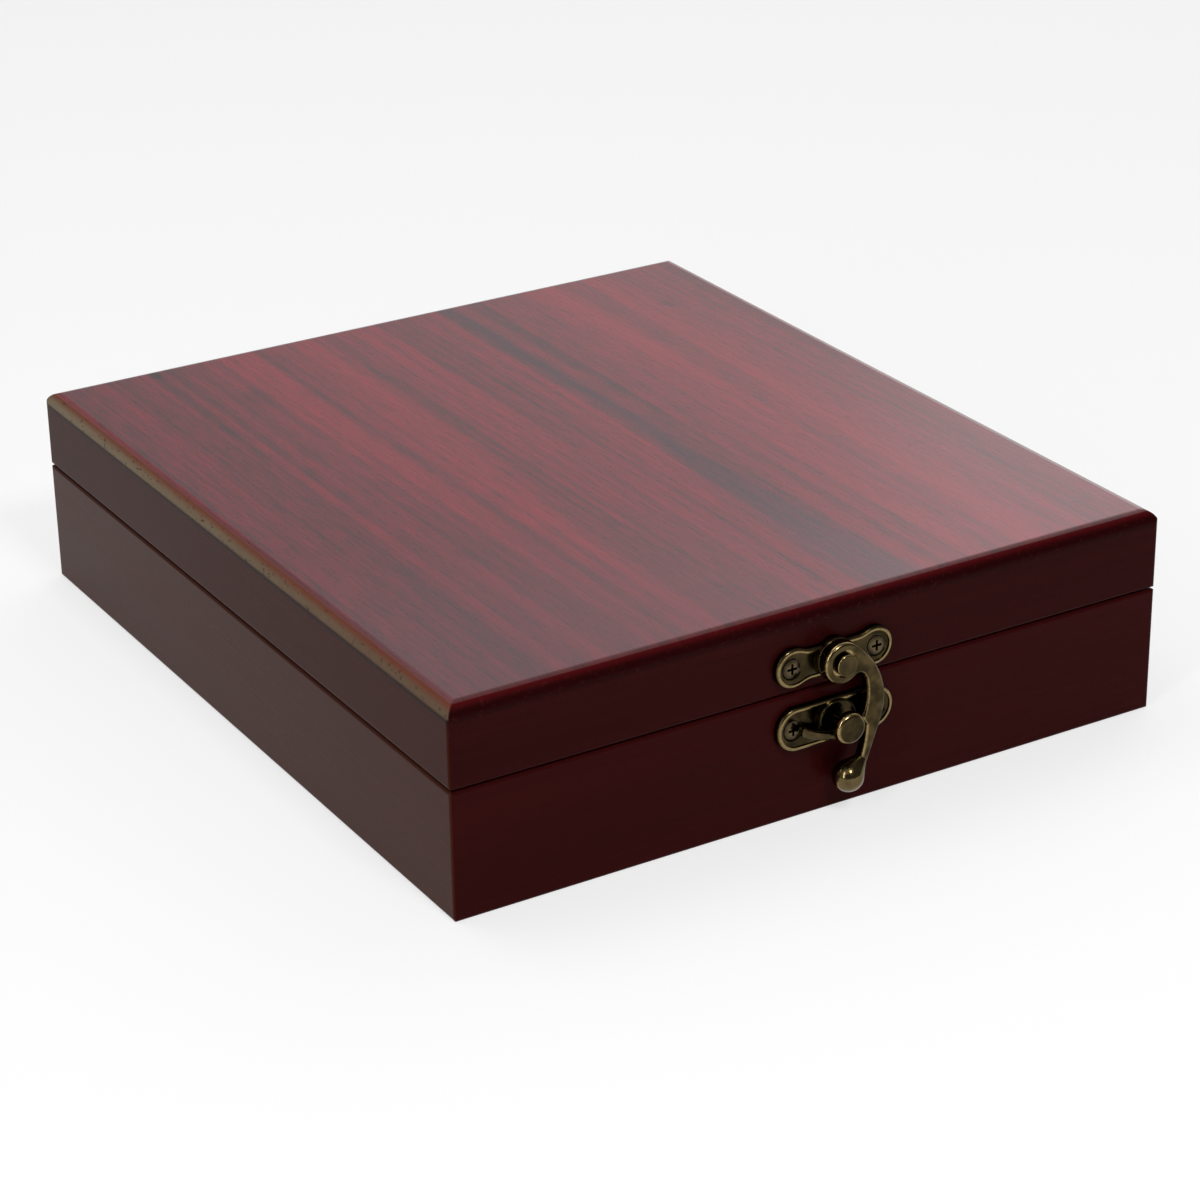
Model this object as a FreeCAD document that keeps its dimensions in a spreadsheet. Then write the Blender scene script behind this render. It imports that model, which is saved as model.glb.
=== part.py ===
import FreeCAD, Part
import math
import os
import re
import Sketcher

# Hinged wooden keepsake box with a swing-hook latch, in millimetres.
# Origin: middle of the underside. +X right, +Y back, +Z up. The latch is on the front face.
doc = FreeCAD.newDocument("keepsake_box")
sheet = doc.addObject("Spreadsheet::Sheet", "Sizes")

# Driving sizes: box, lid board and linings, latch, hook, screws, hinges
sizes = [
    ("box_width", 165.0),
    ("box_depth", 186.0),
    ("base_height", 27.3),
    ("seam_gap", 0.3),
    ("lid_height", 17.2),
    ("wall", 8.0),
    ("corner_round", 0.8),
    ("arris", 0.7),
    ("bottom_thick", 3.0),
    ("rebate_width", 4.0),
    ("fit_gap", 0.1),
    ("board_thick", 5.0),
    ("veneer", 0.3),
    ("edge_round", 3.0),
    ("lining_thick", 1.6),
    ("lining_gap", 0.4),
    ("latch_shift", 1.8),
    ("keeper_shift", 0.4),
    ("pivot_rise", 6.1),
    ("post_drop", 13.3),
    ("plate_length", 27.3),
    ("plate_half", 4.2),
    ("keeper_half", 4.7),
    ("waist_half", 3.3),
    ("waist_reach", 5.2),
    ("plate_thick", 1.5),
    ("rim_round", 0.6),
    ("rim_width", 0.85),
    ("rim_depth", 0.3),
    ("boss_radius", 4.4),
    ("boss_top", 2.2),
    ("boss_round", 0.45),
    ("screw_spread", 9.9),
    ("dish_radius", 2.9),
    ("dish_depth", 0.5),
    ("rivet_radius", 1.5),
    ("rivet_head", 2.3),
    ("rivet_top", 5.9),
    ("tail_radius", 2.4),
    ("tail_thick", 0.6),
    ("post_neck", 0.95),
    ("post_head", 3.3),
    ("post_head_thick", 2.1),
    ("post_round", 0.95),
    ("ring_radius", 4.35),
    ("ring_recess", 2.9),
    ("recess_depth", 0.6),
    ("hook_lift", 0.3),
    ("hook_thick", 2.3),
    ("hook_round", 0.75),
    ("armpit_round", 1.4),
    ("arm_reach", 9.8),
    ("elbow_drop", 9.6),
    ("elbow_radius", 14.0),
    ("elbow_up", 26.0),
    ("elbow_down", 20.0),
    ("arm_width", 3.25),
    ("root_width", 4.5),
    ("notch_radius", 13.0),
    ("shank_step", 1.6),
    ("shank_width", 2.9),
    ("shank_length", 12.2),
    ("shank_radius", 24.0),
    ("shank_tip", 1.95),
    ("ball_radius", 3.25),
    ("ball_across", 2.9),
    ("ball_rise", 0.6),
    ("ball_height", 3.75),
    ("ball_turn", 44.0),
    ("ball_cone", 30.0),
    ("ball_neck", 5.0),
    ("horn_gap", 0.25),
    ("horn_width", 2.0),
    ("horn_thick", 1.35),
    ("horn_sweep", 36.0),
    ("horn_blunt", 6.0),
    ("horn_round", 0.55),
    ("run_gap", 0.06),
    ("press_gap", 0.02),
    ("screw_head", 1.95),
    ("screw_shank", 0.95),
    ("screw_length", 6.5),
    ("screw_dome", 0.3),
    ("cross_reach", 1.15),
    ("cross_half", 0.27),
    ("seat_gap", 0.05),
    ("hinge_inset", 38.0),
    ("hinge_length", 25.0),
    ("leaf_height", 10.0),
    ("leaf_thick", 1.0),
    ("leaf_corner", 1.2),
    ("knuckle_radius", 1.9),
    ("knuckle_gap", 0.3),
    ("middle_half", 4.2),
    ("knuckle_end_gap", 0.25),
    ("pin_radius", 0.95),
    ("leaf_screw_spread", 8.0),
    ("leaf_screw_drop", 6.2),
]
for row, (name, number) in enumerate(sizes, start=1):
    sheet.set("A%d" % row, name)
    sheet.set("B%d" % row, str(number))
    sheet.setAlias("B%d" % row, name)
doc.recompute()
words = [name for name, number in sizes]

# Sizes that follow from the driving ones
lid_bottom = "(base_height + seam_gap)"
box_height = "(base_height + seam_gap + lid_height)"
board_low = "(base_height + seam_gap + lid_height - board_thick)"
pivot_height = "(base_height + pivot_rise)"
post_height = "(base_height + pivot_rise - post_drop)"
axis_height = "(base_height + seam_gap / 2)"
axis_out = "(knuckle_radius + knuckle_gap)"
hook_low = "(boss_top + hook_lift)"
hook_top = "(boss_top + hook_lift + hook_thick)"
seat_top = "(plate_thick - dish_depth)"
diagonal = "(1 - sqrt(0.5))"
beyond = "2"


def cells(text):
    # Names of sizes become references to their cells
    def cell(hit):
        return "Sizes." + hit.group() if hit.group() in words else hit.group()

    return re.sub(r"[a-z_]+", cell, text)


def number_of(text):
    result = doc.Objects[1].evalExpression(cells(text)) if len(doc.Objects) > 1 else 0.0
    return float(getattr(result, "Value", result))


def bind(thing, path, text):
    thing.setExpression(path, cells(text))


def new_body(name):
    body = doc.addObject("PartDesign::Body", name)
    body.Label = name
    return body


def plane_of(body, role):
    return [feature for feature in body.Origin.OriginFeatures if feature.Role == role][0]


def sketch_on(body, role, shift=("0", "0", "0"), turn=None):
    sketch = body.newObject("Sketcher::SketchObject", body.Name + "_sketch")
    sketch.AttachmentSupport = [(plane_of(body, role), "")]
    sketch.MapMode = "FlatFace"
    if turn:
        angle = FreeCAD.Rotation(FreeCAD.Vector(0, 0, 1), number_of(turn))
        sketch.AttachmentOffset = FreeCAD.Placement(FreeCAD.Vector(0, 0, 0), angle)
        bind(sketch, "AttachmentOffset.Rotation.Angle", turn)
    for letter, text in zip("xyz", shift):
        if text != "0":
            bind(sketch, "AttachmentOffset.Base." + letter, text)
    return sketch


def pin_point(sketch, edge, end, across, up):
    for kind, text in (("DistanceX", across), ("DistanceY", up)):
        spot = sketch.addConstraint(Sketcher.Constraint(kind, -1, 1, edge, end, number_of(text)))
        bind(sketch, "Constraints[%d]" % spot, text)


def outline(sketch, points):
    # Closed chain of corners (x, y); a third entry makes the next edge an arc of that radius
    # A minus radius turns right
    spots = [FreeCAD.Vector(number_of(point[0]), number_of(point[1]), 0) for point in points]
    edges = []
    for place, point in enumerate(points):
        start = spots[place]
        finish = spots[(place + 1) % len(points)]
        if len(point) == 2:
            edges.append((sketch.addGeometry(Part.LineSegment(start, finish), False), 1, 2))
            continue
        radius = number_of(point[2])
        chord = finish - start
        rise = abs(radius) - math.sqrt(radius ** 2 - (chord.Length / 2) ** 2)
        aside = FreeCAD.Vector(chord.y, -chord.x, 0).normalize() * math.copysign(rise, radius)
        middle = (start + finish) / 2 + aside
        if radius > 0:
            edge = sketch.addGeometry(Part.Arc(start, middle, finish), False)
            edges.append((edge, 1, 2))
        else:
            edge = sketch.addGeometry(Part.Arc(finish, middle, start), False)
            edges.append((edge, 2, 1))
        size = sketch.addConstraint(Sketcher.Constraint("Radius", edge, abs(radius)))
        bind(sketch, "Constraints[%d]" % size, "abs(" + point[2] + ")")
    for place, point in enumerate(points):
        edge, first, last = edges[place]
        following = edges[(place + 1) % len(points)]
        sketch.addConstraint(Sketcher.Constraint("Coincident", edge, last, following[0], following[1]))
        pin_point(sketch, edge, first, point[0], point[1])


def circle(sketch, across, up, radius):
    spot = FreeCAD.Vector(number_of(across), number_of(up), 0)
    edge = sketch.addGeometry(Part.Circle(spot, FreeCAD.Vector(0, 0, 1), number_of(radius)), False)
    size = sketch.addConstraint(Sketcher.Constraint("Radius", edge, number_of(radius)))
    bind(sketch, "Constraints[%d]" % size, radius)
    pin_point(sketch, edge, 3, across, up)


def pad(body, sketch, length, both_ways=False):
    feature = body.newObject("PartDesign::Pad", body.Name + "_pad")
    feature.Profile = sketch
    feature.SideType = "Symmetric" if both_ways else "One side"
    bind(feature, "Length", length)
    doc.recompute()
    return feature


def cut_done(body, before):
    doc.recompute()
    if body.Shape.Volume >= before - 1e-6:
        raise RuntimeError("a cut removed nothing in " + body.Name)


def pocket(body, sketch, length=None, reverse=False):
    # No length cuts right through, both ways
    before = body.Shape.Volume
    feature = body.newObject("PartDesign::Pocket", body.Name + "_pocket")
    feature.Profile = sketch
    feature.Reversed = reverse
    if length:
        bind(feature, "Length", length)
    else:
        feature.Type = "ThroughAll"
        feature.SideType = "Symmetric"
    cut_done(body, before)
    return feature


def turned(body, kind, sketch, axis="V_Axis"):
    before = body.Shape.Volume if body.Tip else 0.0
    feature = body.newObject("PartDesign::" + kind, body.Name + "_turned")
    feature.Profile = sketch
    feature.ReferenceAxis = (sketch, [axis])
    feature.Angle = 360.0
    doc.recompute()
    if kind == "Groove":
        cut_done(body, before)
    return feature


def mirrored(body, features):
    feature = body.newObject("PartDesign::Mirrored", body.Name + "_mirrored")
    feature.Originals = features
    feature.MirrorPlane = (plane_of(body, "YZ_Plane"), [""])
    body.Tip = feature
    doc.recompute()
    return feature


def soften(body, radius, wanted):
    # Fillet on the edges that the test picks out
    tip = body.Tip
    names = ["Edge%d" % place for place, edge in enumerate(tip.Shape.Edges, start=1) if wanted(edge)]
    if not names:
        raise RuntimeError("no edge to round in " + body.Name)
    feature = body.newObject("PartDesign::Fillet", body.Name + "_fillet")
    feature.Base = (tip, names)
    bind(feature, "Radius", radius)
    doc.recompute()
    return feature


def flat_at(height):
    level = number_of(height)

    def flat(edge):
        return abs(edge.BoundBox.ZMin - level) < 1e-4 and abs(edge.BoundBox.ZMax - level) < 1e-4

    return flat


def place(thing, across, along, up, rotation):
    thing.Placement = FreeCAD.Placement(FreeCAD.Vector(0, 0, 0), rotation)
    for letter, text in zip("xyz", (across, along, up)):
        if text != "0":
            bind(thing, "Placement.Base." + letter, text)


def plain_board(name, length, width, height, low):
    board = doc.addObject("Part::Box", name)
    board.Label = name
    bind(board, "Length", length)
    bind(board, "Width", width)
    bind(board, "Height", height)
    place(board, "-(%s) / 2" % length, "-(%s) / 2" % width, low, FreeCAD.Rotation())
    return board


level = FreeCAD.Rotation()
quarter = FreeCAD.Rotation(FreeCAD.Vector(0, 0, 1), 90)
half = FreeCAD.Rotation(FreeCAD.Vector(0, 0, 1), 180)
three_quarter = FreeCAD.Rotation(FreeCAD.Vector(0, 0, 1), 270)
out_front = FreeCAD.Rotation(FreeCAD.Vector(1, 0, 0), 90)
out_back = half * out_front
nodes = []


# Mitred walls and rails: one section along the length, both ends cut at 45 degrees with an eased corner
def mitred(name, rotation, span, length, section, holes):
    face = "-(%s) / 2" % span
    end = "(%s) / 2" % length
    body = new_body(name)
    profile = sketch_on(body, "YZ_Plane")
    outline(profile, [(face + " + " + point[0],) + tuple(point[1:]) for point in section])
    pad(body, profile, length, both_ways=True)
    ends = sketch_on(body, "XY_Plane")
    for side in ("", "-"):
        outline(ends, [
            (side + "(%s - corner_round)" % end, face, side + "corner_round"),
            (side + "(%s - corner_round * %s)" % (end, diagonal), face + " + corner_round * " + diagonal),
            (side + "(%s - wall - %s)" % (end, beyond), face + " + wall + " + beyond),
            (side + "(%s + %s)" % (end, beyond), face + " + wall + " + beyond),
            (side + "(%s + %s)" % (end, beyond), face + " - " + beyond),
            (side + "(%s - corner_round)" % end, face + " - " + beyond),
        ])
    pocket(body, ends)
    if holes:
        drilled = sketch_on(body, "XZ_Plane", ("0", "0", "(%s) / 2" % span))
        for across, up in holes:
            circle(drilled, across, up, "screw_shank + seat_gap")
        pocket(body, drilled, "screw_length + seat_gap")
    place(body, "0", "0", "0", rotation)
    nodes.append(body)


wall_section = [
    ("arris", "0"),
    ("wall - rebate_width", "0"),
    ("wall - rebate_width", "bottom_thick"),
    ("wall", "bottom_thick"),
    ("wall", "base_height"),
    ("arris", "base_height", "arris"),
    ("0", "base_height - arris"),
    ("0", "arris", "arris"),
]
rail_section = [
    ("arris", lid_bottom),
    ("wall", lid_bottom),
    ("wall", board_low),
    ("0", board_low),
    ("0", lid_bottom + " + arris", "arris"),
]
hinge_across = "(box_width / 2 - hinge_inset)"
leaf_columns = []
for side in ("", "-"):
    for way in (" - ", " + "):
        leaf_columns.append(side + "(" + hinge_across + way + "leaf_screw_spread)")
keeper_across = "(latch_shift + keeper_shift)"
screw_sides = (" - screw_spread", " + screw_spread")
keeper_holes = [(keeper_across + side, post_height) for side in screw_sides]
pivot_holes = [("latch_shift" + side, pivot_height) for side in screw_sides]
low_holes = [(column, axis_height + " - leaf_screw_drop") for column in leaf_columns]
high_holes = [(column, axis_height + " + leaf_screw_drop") for column in leaf_columns]
mitred("base_front_wall", level, "box_depth", "box_width", wall_section, keeper_holes)
mitred("base_right_wall", quarter, "box_width", "box_depth", wall_section, [])
mitred("base_back_wall", half, "box_depth", "box_width", wall_section, low_holes)
mitred("base_left_wall", three_quarter, "box_width", "box_depth", wall_section, [])
mitred("lid_front_rail", level, "box_depth", "box_width", rail_section, pivot_holes)
mitred("lid_right_rail", quarter, "box_width", "box_depth", rail_section, [])
mitred("lid_back_rail", half, "box_depth", "box_width", rail_section, high_holes)
mitred("lid_left_rail", three_quarter, "box_width", "box_depth", rail_section, [])

# Bottom panel in the rebate, and the felt linings on it and under the lid board
inner_width = "box_width - 2 * wall"
inner_depth = "box_depth - 2 * wall"
panel_width = inner_width + " + 2 * rebate_width - 2 * fit_gap"
panel_depth = inner_depth + " + 2 * rebate_width - 2 * fit_gap"
felt_width = inner_width + " - 2 * lining_gap"
felt_depth = inner_depth + " - 2 * lining_gap"
nodes.append(plain_board("base_bottom_panel", panel_width, panel_depth, "bottom_thick", "0"))
nodes.append(plain_board("base_floor_lining", felt_width, felt_depth, "lining_thick", "bottom_thick"))
nodes.append(plain_board("lid_lining", felt_width, felt_depth, "lining_thick", board_low + " - lining_thick"))


# Lid board: rounded-over blank, sliced into the board below and the face veneer above
def rectangle(sketch, margin):
    across = "(box_width / 2 + %s)" % margin
    along = "(box_depth / 2 + %s)" % margin
    left, near = "-" + across, "-" + along
    outline(sketch, [(left, near), (across, near), (across, along), (left, along)])


def lid_board(name, keep_face):
    body = new_body(name)
    blank = sketch_on(body, "XY_Plane", ("0", "0", board_low))
    rectangle(blank, "0")
    pad(body, blank, "board_thick")
    soften(body, "edge_round", flat_at(box_height))
    corners = sketch_on(body, "XY_Plane")
    for side in ("", "-"):
        for end in ("", "-"):
            turn = "-corner_round" if side == end else "corner_round"
            near = side + "(box_width / 2 - corner_round)"
            far = side + "(box_width / 2 + %s)" % beyond
            back = end + "(box_depth / 2 - corner_round)"
            past = end + "(box_depth / 2 + %s)" % beyond
            outline(corners, [
                (near, end + "(box_depth / 2)", turn),
                (side + "(box_width / 2)", back),
                (far, back),
                (far, past),
                (near, past),
            ])
    pocket(body, corners)
    slice_plane = sketch_on(body, "XY_Plane", ("0", "0", box_height + " - veneer"))
    rectangle(slice_plane, beyond)
    pocket(body, slice_plane, "board_thick", reverse=not keep_face)
    nodes.append(body)


lid_board("lid_top_panel", False)
lid_board("lid_top_veneer", True)


# Latch plates: pressed plate with a rolled rim, a raised boss and two dished screw seats
def seat_cut(body, shift, rim, rim_radius):
    # Countersunk seat, with an open dish above it where the rim stands higher
    seat = sketch_on(body, "XZ_Plane", shift)
    shape = [
        ("0", "-1"),
        ("screw_shank + seat_gap", "-1"),
        ("screw_shank + seat_gap", rim + " - screw_head + screw_shank"),
        ("screw_head + seat_gap", rim),
    ]
    if rim_radius:
        shape.append((rim_radius, "plate_thick"))
        shape.append((rim_radius, "plate_thick + 2"))
        shape.append(("0", "plate_thick + 2"))
    else:
        shape.append(("screw_head + seat_gap", rim + " + 2"))
        shape.append(("0", rim + " + 2"))
    outline(seat, shape)
    return mirrored(body, [turned(body, "Groove", seat)])


def plate_outline(sketch, half, waisted, margin):
    # Stadium, or one with a waist on either side of the boss; the margin draws it smaller all round
    tall = "(%s - %s)" % (half, margin)
    slim = "(waist_half - %s)" % margin
    end = "(plate_length / 2 - %s)" % margin
    shoulder = "(plate_length / 2 - %s)" % half
    run = "((%s - waist_reach) / 2)" % shoulder
    fall = "((%s - waist_half) / 2)" % half
    swell = "((%s^2 + %s^2) / (2 * %s))" % (run, fall, fall)
    between = "((%s + waist_reach) / 2)" % shoulder
    between_half = "((%s + %s) / 2)" % (tall, slim)
    shape = []
    for side, top in (("", ""), ("-", ""), ("-", "-"), ("", "-")):
        corner = [(side + end, "0", tall), (side + shoulder, top + tall)]
        if waisted:
            corner[1] = corner[1] + (swell,)
            corner.append((side + between, top + between_half, "-" + swell))
            corner.append((side + "waist_reach", top + slim))
        if side != top:
            arcs = [point[2] if len(point) > 2 else None for point in corner]
            corner = [point[:2] for point in reversed(corner)]
            corner = [point + (arc,) if arc else point for point, arc in zip(corner, arcs[-2::-1] + [None])]
            corner = corner[:-1]
        shape.extend(corner)
    outline(sketch, shape)


def latch_plate(name, half, waisted, stem, across, up):
    body = new_body(name)
    profile = sketch_on(body, "XY_Plane")
    plate_outline(profile, half, waisted, "0")
    pad(body, profile, "plate_thick")
    soften(body, "rim_round", flat_at("plate_thick"))
    hollow = sketch_on(body, "XY_Plane", ("0", "0", "plate_thick"))
    plate_outline(hollow, half, waisted, "rim_width")
    pocket(body, hollow, "rim_depth")
    raised = sketch_on(body, "XY_Plane")
    circle(raised, "0", "0", "boss_radius")
    pad(body, raised, "boss_top")
    soften(body, "boss_round", flat_at("boss_top"))
    seat_cut(body, ("screw_spread", "0", "0"), seat_top, "dish_radius")
    bore = sketch_on(body, "XY_Plane")
    circle(bore, "0", "0", stem + " + press_gap")
    pocket(body, bore)
    recess = sketch_on(body, "XY_Plane")
    circle(recess, "0", "0", "tail_radius + fit_gap")
    pocket(body, recess, "tail_thick + fit_gap", reverse=True)
    place(body, across, "-box_depth / 2", up, out_front)
    nodes.append(body)


latch_plate("latch_pivot_plate", "plate_half", True, "rivet_radius", "latch_shift", pivot_height)
latch_plate("latch_keeper_plate", "keeper_half", False, "post_neck", keeper_across, post_height)


# Rivet and keeper post: turned studs, spread at the tail behind the plate's boss
def stud(name, stem, head, head_low, head_top, crown, under, across, up):
    body = new_body(name)
    profile = sketch_on(body, "XZ_Plane")
    shape = [
        ("0", "fit_gap"),
        ("tail_radius", "fit_gap"),
        ("tail_radius", "tail_thick"),
        (stem, "tail_thick"),
        (stem, head_low),
    ]
    if under:
        shape.append((head + " - " + under, head_low, under))
        shape.append((head, head_low + " + " + under))
    else:
        shape.append((head, head_low))
    shape.append((head, head_top + " - " + crown, crown))
    shape.append((head + " - " + crown, head_top))
    shape.append(("0", head_top))
    outline(profile, shape)
    turned(body, "Revolution", profile)
    place(body, across, "-box_depth / 2", up, out_front)
    nodes.append(body)


rivet_low = "(" + hook_top + " - recess_depth + fit_gap)"
post_low = "(" + hook_top + " + hook_lift)"
post_top = "(" + post_low + " + post_head_thick)"
rivet_spot = ("latch_shift", pivot_height)
post_spot = (keeper_across, post_height)
stud("latch_pivot_rivet", "rivet_radius", "rivet_head", rivet_low, "rivet_top", "hook_lift", "", *rivet_spot)
stud("latch_keeper_post", "post_neck", "post_head", post_low, post_top, "post_round", "hook_lift", *post_spot)


# Swing hook: ring on the rivet, bent arm that widens to the horn's root, shank, thumb ball at its end.
# The horn's upper edge is an arc about the pivot, so that it slides under the post as the hook turns.
def polar(centre, radius, angle):
    waves = ((centre[0], "cos"), (centre[1], "sin"))
    return tuple("(%s + (%s) * %s((%s) * 1deg))" % (start, radius, wave, angle) for start, wave in waves)


hook = new_body("latch_hook")
centre = ("0", "0")
horn_inner = "(post_drop + post_neck + horn_gap)"
horn_outer = "(%s + horn_width)" % horn_inner
horn_face = "(%s + horn_thick)" % hook_low
section = sketch_on(hook, "YZ_Plane")
outline(section, [
    ("-" + horn_outer, hook_low),
    ("-" + horn_inner, hook_low),
    ("-" + horn_inner, horn_face + " - horn_round", "horn_round"),
    ("-%s - horn_round" % horn_inner, horn_face),
    ("-%s + horn_round" % horn_outer, horn_face, "horn_round"),
    ("-" + horn_outer, horn_face + " - horn_round"),
])
horn = turned(hook, "Revolution", section)
horn.Midplane = True
bind(horn, "Angle", "2 * horn_sweep")
doc.recompute()
# The horn's free end is blunt, rounded off on its lower side; its other end stops inside the arm
tip_angle = "(-horn_sweep - 90)"
outside = "(%s + %s)" % (horn_outer, beyond)
inside = "(%s - %s)" % (horn_inner, beyond)
blunt = sketch_on(hook, "XY_Plane")
outline(blunt, [
    polar(centre, horn_outer + " + horn_gap", tip_angle + " + horn_blunt") + ("-(horn_width * 0.9)",),
    polar(centre, horn_inner + " + horn_gap", tip_angle),
    polar(centre, inside, tip_angle),
    polar(centre, inside, tip_angle + " - horn_blunt"),
    polar(centre, outside, tip_angle + " - horn_blunt"),
    polar(centre, outside, tip_angle + " + horn_blunt"),
])
pocket(hook, blunt)
horn_end = "(arm_reach - root_width / 2)"
butt = sketch_on(hook, "XY_Plane")
outline(butt, [(horn_end, "-" + outside), (outside, "-" + outside), (outside, "0"), (horn_end, "0")])
pocket(hook, butt)

ring = sketch_on(hook, "XY_Plane", ("0", "0", hook_low))
circle(ring, "0", "0", "ring_radius")
pad(hook, ring, "hook_thick")

elbow = ("(arm_reach - elbow_radius)", "(-elbow_drop)")
toward = ("cos(elbow_up * 1deg)", "sin(elbow_up * 1deg)")
lean = "(%s * %s + %s * %s)" % (elbow[0], toward[0], elbow[1], toward[1])
slack = "(elbow_radius - ring_radius)"
longer = "((%s^2 + %s^2 - %s^2) / (2 * (%s + %s)))" % (elbow[0], elbow[1], slack, lean, slack)
upper = tuple("(%s - %s * %s)" % (elbow[way], longer, toward[way]) for way in (0, 1))
upper_radius = "(%s + elbow_radius)" % longer
to_ring = "atan2(-%s; -%s) / 1deg" % (upper[1], upper[0])
# Below the elbow the outer edge runs straight; the inner edge steps in under the horn and curves to the ball
bend = polar(elbow, "elbow_radius", "-elbow_down")
down = "(-90 - elbow_down)"
inward = "(180 - elbow_down)"
shank_start = polar(polar(bend, "shank_step", down), "shank_width", inward)
arm_end = polar(bend, "shank_length", down)
arm = sketch_on(hook, "XY_Plane", ("0", "0", hook_low))
outline(arm, [
    polar(upper, upper_radius + " - arm_width", to_ring) + ("-(%s - arm_width)" % upper_radius,),
    polar(elbow, "elbow_radius - arm_width", "elbow_up") + ("-notch_radius",),
    polar(elbow, "elbow_radius - root_width", "-elbow_down") + ("root_width",),
    shank_start + ("-shank_radius",),
    polar(arm_end, "shank_tip", inward),
    arm_end,
    bend + ("elbow_radius",),
    polar(elbow, "elbow_radius", "elbow_up") + (upper_radius,),
    polar(upper, upper_radius, to_ring),
])
pad(hook, arm, "hook_thick")


def armpit(edge):
    # The upright edge where the arm's inner side meets the ring
    upright = edge.BoundBox.ZLength > number_of("hook_thick") - 1e-4
    thin = edge.BoundBox.XLength < 1e-4 and edge.BoundBox.YLength < 1e-4
    spot = edge.CenterOfMass
    on_ring = abs(math.hypot(spot.x, spot.y) - number_of("ring_radius")) < 1e-3
    return upright and thin and spot.y < -1.0 and on_ring


soften(hook, "armpit_round", armpit)


def face_edge(edge):
    # Outline of the front face, without the cut end of the arm inside the ball
    return flat_at(hook_top)(edge) and edge.BoundBox.YMin > number_of(arm_end[1]) - 1e-3 and (
        edge.BoundBox.YMax > number_of(arm_end[1]) + number_of("shank_tip"))


soften(hook, "hook_round", face_edge)
ball_spot = (arm_end[0] + " - ball_across", arm_end[1] + " + ball_rise", "ball_height")
ball = sketch_on(hook, "XY_Plane", ball_spot, "ball_turn")
cone = "(ball_cone * 1deg)"
neck_radius = "(ball_radius * cos(%s) - (ball_neck - ball_radius * sin(%s)) * tan(%s))" % (cone, cone, cone)
outline(ball, [
    ("-ball_radius", "0"),
    ("ball_neck", "0"),
    ("ball_neck", neck_radius),
    ("ball_radius * sin(%s)" % cone, "ball_radius * cos(%s)" % cone, "ball_radius"),
    ("0", "ball_radius", "ball_radius"),
])
turned(hook, "Revolution", ball, "H_Axis")
recess = sketch_on(hook, "XY_Plane", ("0", "0", hook_top))
circle(recess, "0", "0", "ring_recess")
pocket(hook, recess, "recess_depth")
bore = sketch_on(hook, "XY_Plane")
circle(bore, "0", "0", "rivet_radius + run_gap")
pocket(hook, bore)
place(hook, "latch_shift", "-box_depth / 2", pivot_height, out_front)
nodes.append(hook)


# Screws: countersunk head with a cross recess, plain tapered shank; two to a plate or leaf
def screw_pair(name, across, drop, rim, rotation, spot):
    body = new_body(name)
    profile = sketch_on(body, "XZ_Plane", (across, "0", drop))
    outline(profile, [
        ("0", "-screw_length"),
        ("screw_shank", "-screw_length + 2 * screw_shank"),
        ("screw_shank", rim + " - screw_head + screw_shank"),
        ("screw_head", rim),
        ("screw_head", rim + " + screw_dome / 3"),
        ("screw_head * 0.6", rim + " + screw_dome"),
        ("0", rim + " + screw_dome"),
    ])
    shaft = turned(body, "Revolution", profile)
    cross = sketch_on(body, "XY_Plane", (across, "-(%s)" % drop, rim + " + screw_dome"))
    outline(cross, [
        ("cross_reach", "-cross_half"),
        ("cross_reach", "cross_half"),
        ("cross_half", "cross_half"),
        ("cross_half", "cross_reach"),
        ("-cross_half", "cross_reach"),
        ("-cross_half", "cross_half"),
        ("-cross_reach", "cross_half"),
        ("-cross_reach", "-cross_half"),
        ("-cross_half", "-cross_half"),
        ("-cross_half", "-cross_reach"),
        ("cross_half", "-cross_reach"),
        ("cross_half", "-cross_half"),
    ])
    mirrored(body, [shaft, pocket(body, cross, "screw_dome * 2.5")])
    place(body, spot[0], spot[1], spot[2], rotation)
    nodes.append(body)


front = "-box_depth / 2"
rear = "box_depth / 2"
pivot_screws = ("latch_shift", front, pivot_height)
keeper_screws = (keeper_across, front, post_height)
screw_pair("latch_pivot_screws", "screw_spread", "0", seat_top, out_front, pivot_screws)
screw_pair("latch_keeper_screws", "screw_spread", "0", seat_top, out_front, keeper_screws)


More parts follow.
